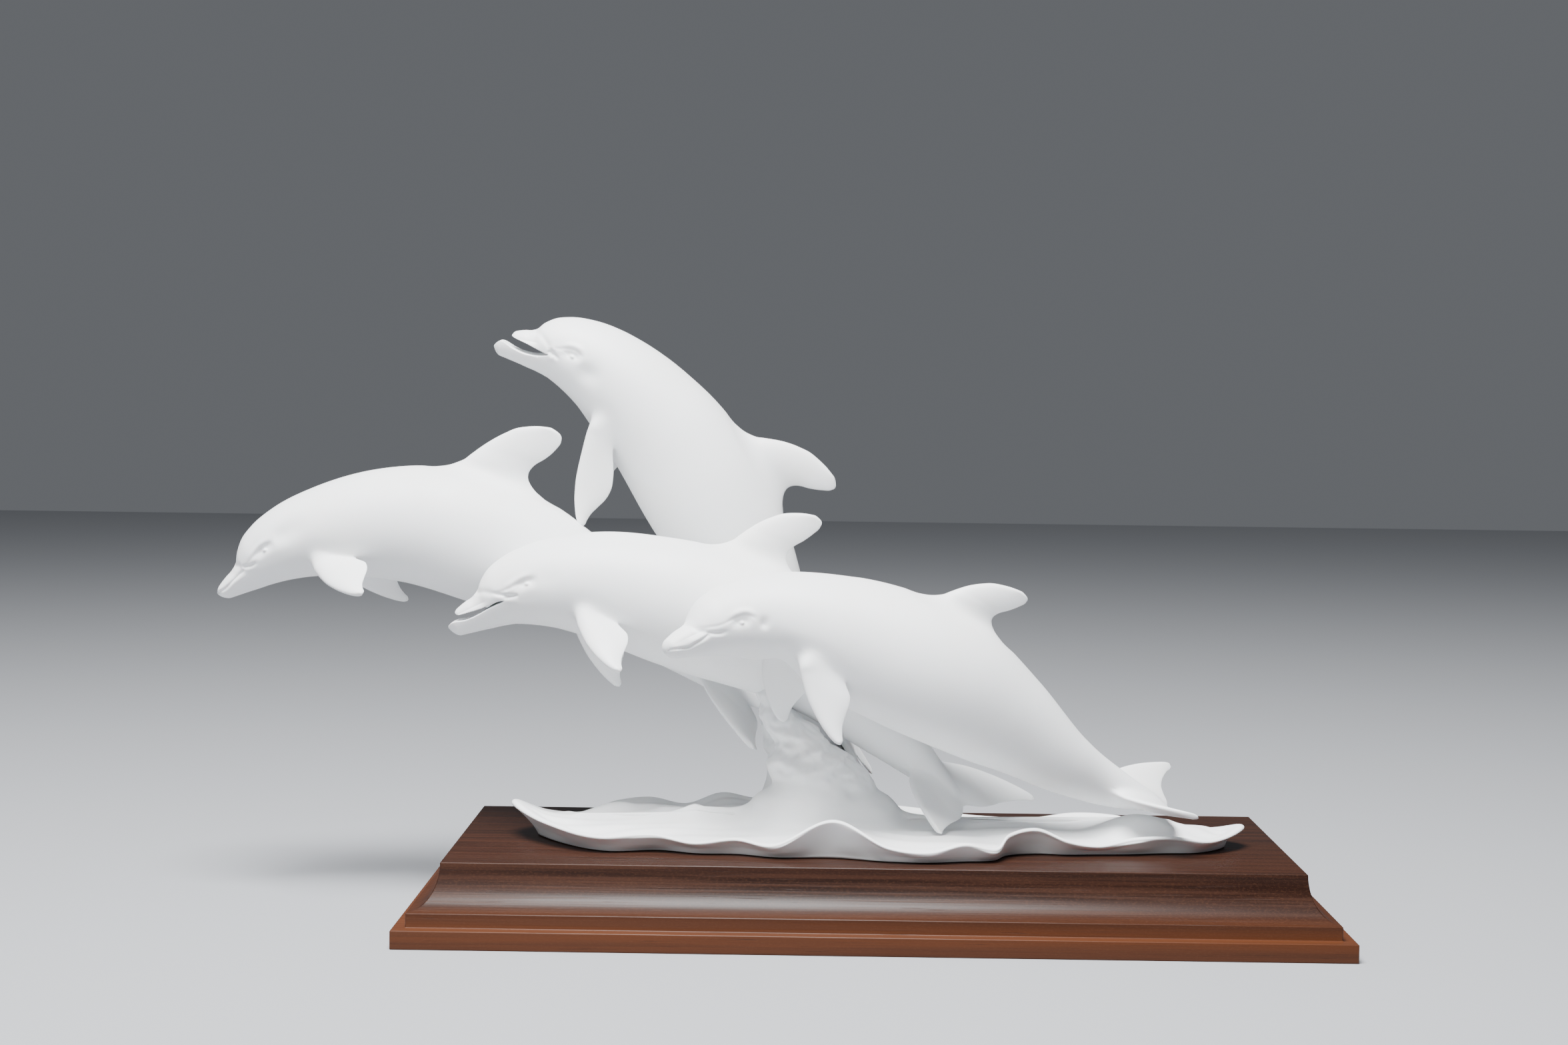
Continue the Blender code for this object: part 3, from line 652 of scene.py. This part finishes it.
def wave_dish():
    piece, place, angle = clay("wave", WAVE_AROUND, WAVE_ALONG)
    rim = closed_through(RIM, WAVE_AROUND)
    turn = np.arctan2(*((rim[:, k] - WAVE_MIDDLE[k]) / WAVE_HALF[k] for k in (1, 0)))
    middle = np.column_stack([WAVE_MIDDLE[0] + FLOOR_MIDDLE[0] * np.cos(turn),
                              WAVE_MIDDLE[1] + FLOOR_MIDDLE[1] * np.sin(turn)])
    inward = middle - rim[:, :2]
    reach = np.linalg.norm(inward, axis=1)
    inward /= reach[:, None]
    high, lean = rim[:, 2], rim[:, 3]
    low = 4.0 + 0.25 * high
    back = smoothstep(-5, 30, rim[:, 1])
    low += back * np.maximum(np.minimum(0.75 * high + 1.0, high - 2.0) - low, 0)
    none = 0 * reach
    stations = [  # place from under to top, distance in from the rim, height
        (0.00, reach, none), (0.06, lean + 9, none), (0.10, lean, none),
        (0.12, lean * 0.93, 0.08 * high), (0.18, lean * 0.62, 0.42 * high),
        (0.25, lean * 0.22, np.minimum(high * 0.78, high - 2.6)),
        (0.29, none + 0.2, high - 1.7), (0.32, none, high - 0.9),
        (0.345, none + 0.6, high - 0.25), (0.37, none + 1.7, high), (0.395, none + 2.9, high - 0.2),
        (0.43, none + 4.8, high - 1.0), (0.52, none + 10, np.maximum(high - 3.6, low)),
        (0.68, reach * 0.5, np.minimum(low + 2.2, 10.5)), (0.86, reach * 0.8, low * 0.3 + 7.5),
        (0.98, reach * 0.985, none + FLOOR_HEIGHT - 0.2), (1.00, reach, none + FLOOR_HEIGHT),
    ]
    knots = [station[0] for station in stations]
    ring = np.linspace(0, 1, WAVE_ALONG + 1)
    offset = through(knots, [station[1] for station in stations], ring)
    height = through(knots, [station[2] for station in stations], ring)
    height[ring <= 0.10] = 0.0
    j = np.round(place * WAVE_ALONG).astype(int)
    k = np.round(angle / (2 * math.pi) * WAVE_AROUND).astype(int) % WAVE_AROUND
    flat = rim[k, :2] + inward[k] * offset[j, k][:, None]
    x, y = flat.T
    z = np.maximum(height[j, k], 0.0)
    inside = smoothstep(0.44, 0.56, place)
    flow = np.sin(2 * math.pi * (y + 7 * np.sin(x / 31.0) + 3 * np.sin(x / 13.0)) / 13.0)
    z += inside * (0.40 * flow + 0.5 * np.sin(x / 17.0 + y / 9.0))
    for rise, swell_x, swell_y, long, wide, power in SWELLS:
        z += inside * rise * np.exp(-(np.abs(x - swell_x) / long) ** power
                                    - ((y - swell_y) / wide) ** 2)
    wall = smoothstep(0.11, 0.18, place) * (1 - smoothstep(0.24, 0.31, place))
    flat += inward[k] * (wall * (0.8 * np.sin(x / 5.5) + 0.9 * np.sin(x / 13.0 + 1.0)))[:, None]
    pole = place == 1.0
    flat[pole], z[pole] = middle.mean(axis=0), FLOOR_HEIGHT
    flat[place == 0.0] = middle.mean(axis=0)
    return shaped(piece, np.column_stack([flat, z]))


wave = wave_dish()
print("wave's lip", WAVE_AROUND, "points round,", round(max(row[2] for row in RIM)), "mm high at most")

# %% [markdown]
# A crest of water stands in the dish and carries the group. It is a column of ovals with a wide foot
# and small knobs on it, like water that breaks up at its top. A plainer ridge behind it carries the
# two far tails. Both are joined to the dish with a soft seam.

# %% The crest and the ridge behind it
CREST = [  # height, x, y, half length and half depth
    (4.5, -27, -6, 56, 33), (7, -27, -6, 51, 30), (10, -26, -6, 46, 28), (17, -24, -7, 39, 25.5),
    (22.5, -24.6, -7.5, 34, 23.5), (26, -24.4, -8, 28.6, 22), (30, -24.2, -8.5, 25.8, 20.5),
    (35, -27, -9.5, 24.8, 19), (40, -29.7, -10.5, 22.2, 17.5), (43.5, -31, -11, 19.6, 16.5),
    (47, -32.6, -12, 16, 15), (51, -35.2, -12.5, 12.9, 14), (55, -38, -12.5, 12.2, 13),
    (58.5, -41.6, -12, 12.4, 12), (62.5, -45.2, -11.5, 10.2, 11), (67, -48.5, -10.5, 8.4, 10),
    (78, -50, -8, 8, 9),
]
BACK_RIDGE = [
    (4.5, -28, 23, 43, 23), (8, -27, 24, 38, 21), (16, -27, 26, 31, 18), (26, -27, 27, 27, 17),
    (42, -33, 28, 21, 15), (56, -39, 28, 18, 14), (72, -45, 28, 13, 12),
]
CREST_LUMPS, RIDGE_LUMPS = 2.0, 1.2  # mm
KNOBS = [  # x, height, how far out and how wide, on the crest's front
    (-53, 57, 2.0, 4.0), (-44, 55, 1.4, 5.0), (-26, 50, 1.5, 3.0), (-19, 48.5, 1.4, 2.8),
    (-51, 42, 2.0, 4.5), (-49, 33, 1.4, 4.0), (-10, 27, -1.8, 3.0), (-38, 48, -1.5, 5.0),
]


def column(name, levels, lumps, around=150, along=110):
    piece, place, angle = clay(name, around, along)
    levels = np.array(levels, float)
    z = levels[0, 0] + (levels[-1, 0] - levels[0, 0]) * np.clip((place - 0.05) / 0.9, 0, 1)
    x, y, half_length, half_depth = through(levels[:, 0], levels[:, 1:], z).T
    cap = np.sqrt(np.clip(1 - (np.maximum(0.05 - place, place - 0.95).clip(0) / 0.05) ** 2, 0, 1))
    points = np.column_stack([
        x + half_length * cap * np.cos(angle), y + half_depth * cap * np.sin(angle),
        z + 3 * np.where(place > 0.5, 1, -1) * (1 - cap)])
    out = np.column_stack([np.cos(angle), np.sin(angle), 0 * angle])
    swell = np.array([noise.noise(Vector(p / (8.0, 8.0, 6.0))) for p in points])
    fine = np.array([noise.noise(Vector(p / 3.6)) for p in points])
    top = smoothstep(22, 44, z)
    rise = lumps * ((0.3 + 1.2 * top) * swell + 0.6 * top * fine)
    for knob_x, knob_z, height, width in KNOBS:
        away = (points[:, 0] - knob_x) ** 2 + (z - knob_z) ** 2
        rise += height * np.exp(-away / width ** 2) * smoothstep(0.3, -0.2, out[:, 1])
    return shaped(piece, points + out * rise[:, None])


crest = column("crest", CREST, CREST_LUMPS)
ridge = column("ridge", BACK_RIDGE, RIDGE_LUMPS)
join(wave, [crest, ridge], *CREST_SOFTENING)
bpy.ops.object.shade_smooth()
print("wave", len(wave.data.polygons), "faces")

# %% [markdown]
# The plinth is a turned moulding in straight lengths: base plate, square step, and a cove that rises
# to the flat top. It is made from one rectangle, extruded and narrowed level by level, as a joiner
# builds up a profile. The real one has its arrises broken with sandpaper, and a narrow bevel gives
# the same fine highlights.

# %% The plinth
PLATE_HEIGHT, STEP_HEIGHT, COVE_HEIGHT = 0.0092, 0.0071, 0.0222
PLATE_EDGE, COVE_REACH, COVE_STEPS = 0.0065, 0.0145, 14
plinth_low, plinth_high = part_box("plinth")
half_x, half_y = plinth_high.x, plinth_high.y
bpy.ops.object.select_all(action="DESELECT")
bpy.ops.mesh.primitive_plane_add(size=2.0, location=(0, 0, 0))
plinth = bpy.context.object
plinth.name = plinth.data.name = "plinth_wood"
bpy.ops.object.mode_set(mode="EDIT")
bpy.ops.mesh.select_all(action="SELECT")
bpy.ops.transform.resize(value=(half_x, half_y, 1))
levels = [(0.0, PLATE_HEIGHT), (PLATE_EDGE, 0.0), (0.0, STEP_HEIGHT)]
for k in range(COVE_STEPS):
    one, two = (math.pi / 2 * (k + n) / COVE_STEPS for n in (0, 1))
    levels.append((COVE_REACH * (math.sin(two) - math.sin(one)),
                   COVE_HEIGHT * (math.cos(one) - math.cos(two))))
inset = 0.0
for step_in, step_up in levels:
    bpy.ops.mesh.extrude_region_move(TRANSFORM_OT_translate={"value": (0, 0, step_up)})
    bpy.ops.transform.resize(value=((half_x - inset - step_in) / (half_x - inset),
                                    (half_y - inset - step_in) / (half_y - inset), 1))
    inset += step_in
bpy.ops.mesh.select_all(action="SELECT")
bpy.ops.mesh.normals_make_consistent(inside=False)
bpy.ops.object.mode_set(mode="OBJECT")
bevel = plinth.modifiers.new("broken_arrises", "BEVEL")
bevel.width, bevel.segments, bevel.limit_method, bevel.angle_limit = 0.0006, 3, "ANGLE", 0.5
only(plinth)
bpy.ops.object.modifier_apply(modifier=bevel.name)
bpy.ops.object.shade_smooth_by_angle(angle=math.radians(30))
print("plinth", [round(v * 1000, 1) for v in plinth.dimensions], "mm")

# %% [markdown]
# Materials are built from nodes. The small class below lets a node's output be used in ordinary
# Python expressions, so that a mask reads like a formula. Colours are mixed with Mix nodes.

# %% Shader maths


class Socket:
    """A node's output that can be added, multiplied and so on."""

    def __init__(self, finish, link):
        self.finish, self.link = finish, link

    def math(self, operation, *values):
        return self.finish.node("ShaderNodeMath", {"operation": operation}, values)

    def __add__(self, other):
        return self.math("ADD", self, other)

    def __radd__(self, other):
        return self.math("ADD", other, self)

    def __sub__(self, other):
        return self.math("SUBTRACT", self, other)

    def __rsub__(self, other):
        return self.math("SUBTRACT", other, self)

    def __mul__(self, other):
        return self.math("MULTIPLY", self, other)

    def __rmul__(self, other):
        return self.math("MULTIPLY", other, self)


class Finish:
    """A material under construction."""

    def __init__(self, name):
        self.material = bpy.data.materials.new(name)
        self.material.use_nodes = True
        self.tree = self.material.node_tree
        self.shader = self.tree.nodes["Principled BSDF"]

    def node(self, kind, settings=None, values=(), output=0):
        """Adds a node with its settings and the values or links of its sockets."""
        made = self.tree.nodes.new(kind)
        for key, value in (settings or {}).items():
            setattr(made, key, value)
        pairs = values.items() if isinstance(values, dict) else enumerate(values)
        for key, value in pairs:
            if isinstance(value, Socket):
                self.tree.links.new(value.link, made.inputs[key])
            else:
                made.inputs[key].default_value = value
        return Socket(self, made.outputs[output])

    def place(self, scale=(1, 1, 1)):
        where = self.node("ShaderNodeTexCoord", output="Object")
        return self.node("ShaderNodeMapping", values={"Vector": where, "Scale": scale})

    def noise(self, scale, detail=3.0, roughness=0.5, stretch=(1, 1, 1)):
        return self.node("ShaderNodeTexNoise", values={
            "Vector": self.place(stretch), "Scale": scale, "Detail": detail,
            "Roughness": roughness})

    def ramp(self, factor, low, high):
        """The factor spread so that low becomes 0 and high 1."""
        return self.node("ShaderNodeMapRange", {"interpolation_type": "SMOOTHSTEP"},
                         {"Value": factor, "From Min": low, "From Max": high})

    def mix(self, factor, first, second):
        return self.node("ShaderNodeMix", {"data_type": "RGBA"},
                         {0: factor, 6: first, 7: second}, output=2)

    def bump(self, height, strength, distance):
        return self.node("ShaderNodeBump", values={
            "Height": height, "Strength": strength, "Distance": distance})

    def set(self, **values):
        for key, value in values.items():
            socket = self.shader.inputs[key.replace("_", " ")]
            if isinstance(value, Socket):
                self.tree.links.new(value.link, socket)
            else:
                socket.default_value = value
        return self.material


def rgb(red, green, blue):
    return (red, green, blue, 1.0)


print("shader class ready")

# %% [markdown]
# Biscuit porcelain is fired without glaze. It is white with a faint cool tint, quite matt, and its
# skin has a grain so fine that it only softens the highlights. A little dust and handling make faint
# warmer clouds. A slight subsurface glow keeps the shadows from going grey and hard.

# %% Biscuit porcelain
porcelain = Finish("bisque_porcelain_look")
clouds = porcelain.ramp(porcelain.noise(22.0, 4.0, 0.55), 0.42, 0.72)
specks = porcelain.ramp(porcelain.noise(900.0, 2.0, 0.6), 0.66, 0.78)
white = porcelain.mix(clouds, rgb(0.86, 0.875, 0.885), rgb(0.845, 0.85, 0.845))
white = porcelain.mix(specks * 0.25, white, rgb(0.70, 0.70, 0.69))
grain = porcelain.noise(2600.0, 2.0, 0.6)
soft = porcelain.noise(170.0, 3.0, 0.5)
porcelain_look = porcelain.set(
    Base_Color=white, Roughness=0.50 + 0.10 * clouds,
    Specular_IOR_Level=0.42, Subsurface_Weight=0.06, Subsurface_Scale=0.004,
    Normal=porcelain.bump(grain + 2.0 * soft, 0.10, 0.0002))
for piece in dolphins + [wave]:
    piece.data.materials.clear()
    piece.data.materials.append(porcelain_look)
print("porcelain on", len(dolphins) + 1, "pieces")

# %% [markdown]
# The plinth is a close-grained hardwood, stained a deep red-brown and finished with satin lacquer.
# Its grain runs along its length: dark streaks some millimetres wide, finer lines within them and
# short dark pores. The lacquer fills most of the pores, so the bump is slight. The plate, the step
# and the foot of the cove get a lighter orange-brown: painted light on these lower faces.

# %% Stained wood
wood = Finish("stained_wood_look")
wander = wood.noise(7.0, 3.0, 0.5, stretch=(0.6, 3.0, 3.0))
streaks = wood.ramp(wood.noise(14.0, 5.0, 0.62, stretch=(0.35, 7.0, 7.0)), 0.36, 0.66)
lines = wood.ramp(wood.noise(60.0, 4.0, 0.6, stretch=(0.10, 7.0, 7.0)), 0.42, 0.66)
pores = wood.ramp(wood.noise(240.0, 3.0, 0.6, stretch=(0.10, 3.4, 3.4)), 0.62, 0.74)
speckle = wood.ramp(wood.noise(1400.0, 2.0, 0.6, stretch=(0.5, 1.0, 1.0)), 0.45, 0.75)
height = wood.node("ShaderNodeSeparateXYZ", values={"Vector": wood.place()}, output=2)
# painted light: below the cove the wood turns a lighter orange-brown, on the step and the plate
base = wood.ramp(height, 0.022, 0.008)
brown = wood.mix(streaks, rgb(0.010, 0.0036, 0.0022), rgb(0.022, 0.0075, 0.004))
brown = wood.mix(base * 0.75, brown, rgb(0.110, 0.034, 0.012))
brown = wood.mix(lines * 0.50, brown, rgb(0.052, 0.018, 0.008))
brown = wood.mix(wander * 0.40, brown, rgb(0.024, 0.007, 0.003))
brown = wood.mix(pores * 0.60, brown, rgb(0.022, 0.008, 0.005))
brown = wood.mix(speckle * 0.16, brown, rgb(0.110, 0.046, 0.022))
wood_look = wood.set(
    Base_Color=brown, Roughness=0.40 + 0.10 * lines + 0.12 * pores,
    Coat_Weight=0.05, Coat_Roughness=0.30, Specular_IOR_Level=0.18,
    Normal=wood.bump(lines * 0.5 - pores, 0.20, 0.0003))
plinth.data.materials.clear()
plinth.data.materials.append(wood_look)
print("wood on", plinth.name)

# %% [markdown]
# Each new piece now stands for the CAD solid that it replaces: it is tied to the root frame, and the
# solid is hidden.

# %% Tie the pieces to the frame
for piece in dolphins + [wave]:
    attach(piece, "root")
    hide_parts("dolphin_group")
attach(plinth, "root")
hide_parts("plinth")

# %% [markdown]
# The studio is plain: a pale floor, one large soft light above and a little in front, a weaker one
# from the left and a dim even room. Matt white needs a light mostly from above, or its forms go
# flat. The camera stands where the photographer's stood.

# %% Floor, lights and camera
bpy.ops.object.select_all(action="DESELECT")
bpy.ops.mesh.primitive_plane_add(size=8.0, location=(0, 0, 0))
floor = bpy.context.object
floor.name = "floor"
floor_finish = Finish("pale_floor")
floor.data.materials.append(floor_finish.set(Base_Color=rgb(0.33, 0.34, 0.36), Roughness=0.75))


def soft_light(name, where, aim, size, power):
    data = bpy.data.lights.new(name, "AREA")
    data.shape, data.size, data.energy = "DISK", size, power
    light = bpy.data.objects.new(name, data)
    light.location = where
    light.rotation_euler = (Vector(aim) - Vector(where)).to_track_quat("-Z", "Y").to_euler()
    bpy.context.collection.objects.link(light)


soft_light("overhead", (-0.22, -0.62, 1.70), (0, 0, 0.12), 1.0, 135)
soft_light("front_left", (-1.1, -1.7, 1.0), (0, 0, 0.12), 1.2, 10)
world = bpy.data.worlds.new("room")
world.use_nodes = True
world.node_tree.nodes["Background"].inputs["Color"].default_value = rgb(0.60, 0.63, 0.68)
world.node_tree.nodes["Background"].inputs["Strength"].default_value = 0.22
bpy.context.scene.world = world

yaw, pitch, roll = -0.00921, -0.05095, 0.01292
look = Vector((math.sin(yaw) * math.cos(pitch), math.cos(yaw) * math.cos(pitch), math.sin(pitch)))
level = Vector((math.cos(yaw), -math.sin(yaw), 0))
upright = level.cross(look)
right = level * math.cos(roll) + upright * math.sin(roll)
upright = upright * math.cos(roll) - level * math.sin(roll)
camera_data = bpy.data.cameras.new("camera")
camera_data.sensor_width, camera_data.lens = 36.0, 36.0 * 4000 / 2352
camera = bpy.data.objects.new("camera", camera_data)
camera.matrix_world = Matrix.Translation((-0.0335, -1.36052, 0.26964)) @ Matrix((
    (right.x, upright.x, -look.x), (right.y, upright.y, -look.y),
    (right.z, upright.z, -look.z))).to_4x4()
bpy.context.collection.objects.link(camera)
bpy.context.scene.camera = camera
print("camera", round(camera_data.lens, 2), "mm lens")
